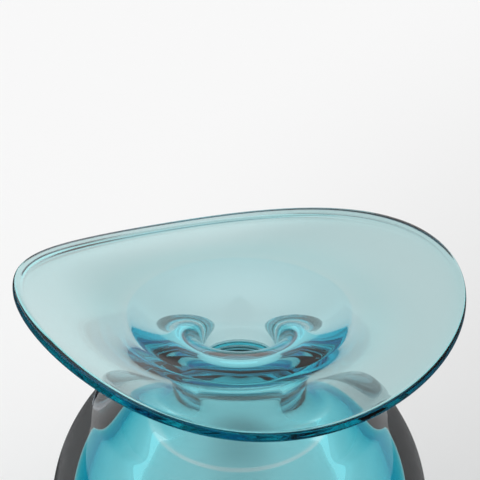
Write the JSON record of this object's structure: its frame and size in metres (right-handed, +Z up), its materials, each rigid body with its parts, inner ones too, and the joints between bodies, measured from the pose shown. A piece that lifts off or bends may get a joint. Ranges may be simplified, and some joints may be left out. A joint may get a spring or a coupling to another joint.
{
  "type": "hand blown art glass vase",
  "caption": "Hand blown vase with a round body of teal glass cased in thick clear glass, a narrow throat and a broad, wavy flared lip.",
  "frame": {"origin": "middle of the foot, on the surface the vase stands on", "axes": "+Z up along the vase's axis, +X to the right and +Y away from the viewer in the pictured view"},
  "size_m": [0.164, 0.164, 0.1614],
  "materials": {
    "clear_glass": "fire polished, colourless",
    "teal_glass": "fire polished, transparent teal",
    "lip_glass": "fire polished, transparent teal, pale where thin"
  },
  "bodies": {
    "root": {"clear_casing": "clear_glass", "colour_bubble": "teal_glass", "throat_liner": "teal_glass", "flared_lip": "lip_glass"}
  },
  "joints": []
}
